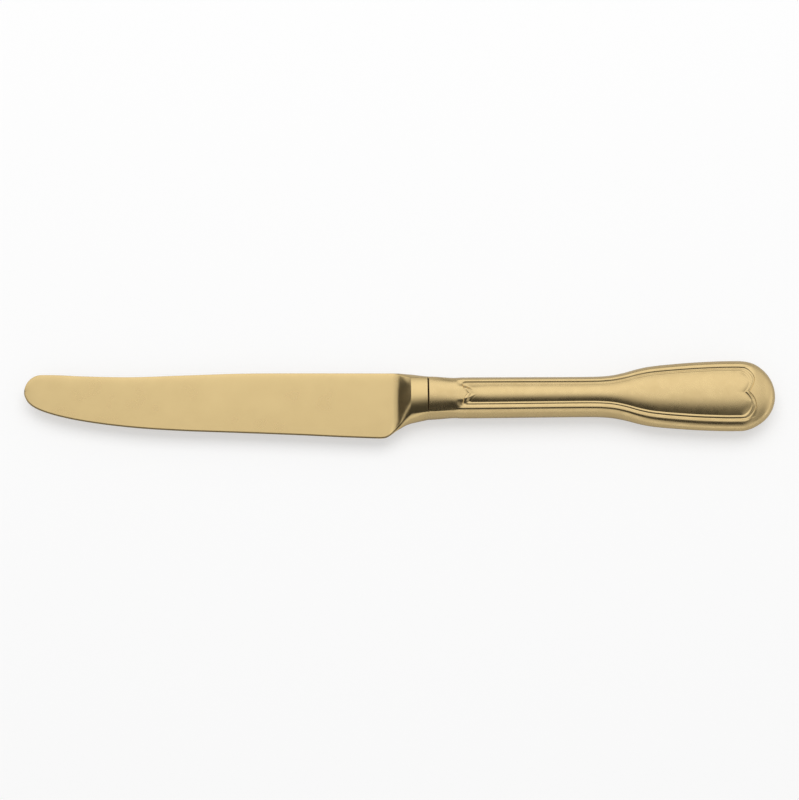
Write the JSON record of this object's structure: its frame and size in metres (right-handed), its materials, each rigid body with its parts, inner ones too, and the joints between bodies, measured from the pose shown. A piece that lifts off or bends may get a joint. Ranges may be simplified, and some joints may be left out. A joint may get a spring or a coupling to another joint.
{
  "type": "table knife",
  "caption": "Table knife with a long round-tipped blade, a crowned bolster and a hollow fiddle-shaped handle with a threaded border.",
  "frame": {"origin": "middle of the knife's box in X and Y, on the surface it lies on", "axes": "+X from the tip of the blade to the butt of the handle, -Y the way the cutting edge faces, +Z out of the front face"},
  "size_m": [0.24, 0.0254, 0.01],
  "materials": {
    "blade_finish": "satin champagne-gold coating on stainless steel",
    "handle_finish": "satin champagne-gold coating on stainless steel",
    "handle_cement": "hardened handle cement"
  },
  "bodies": {
    "root": {"blade": "blade_finish", "handle_front_shell": "handle_finish", "handle_back_shell": "handle_finish", "handle_cement": "handle_cement"}
  },
  "joints": []
}
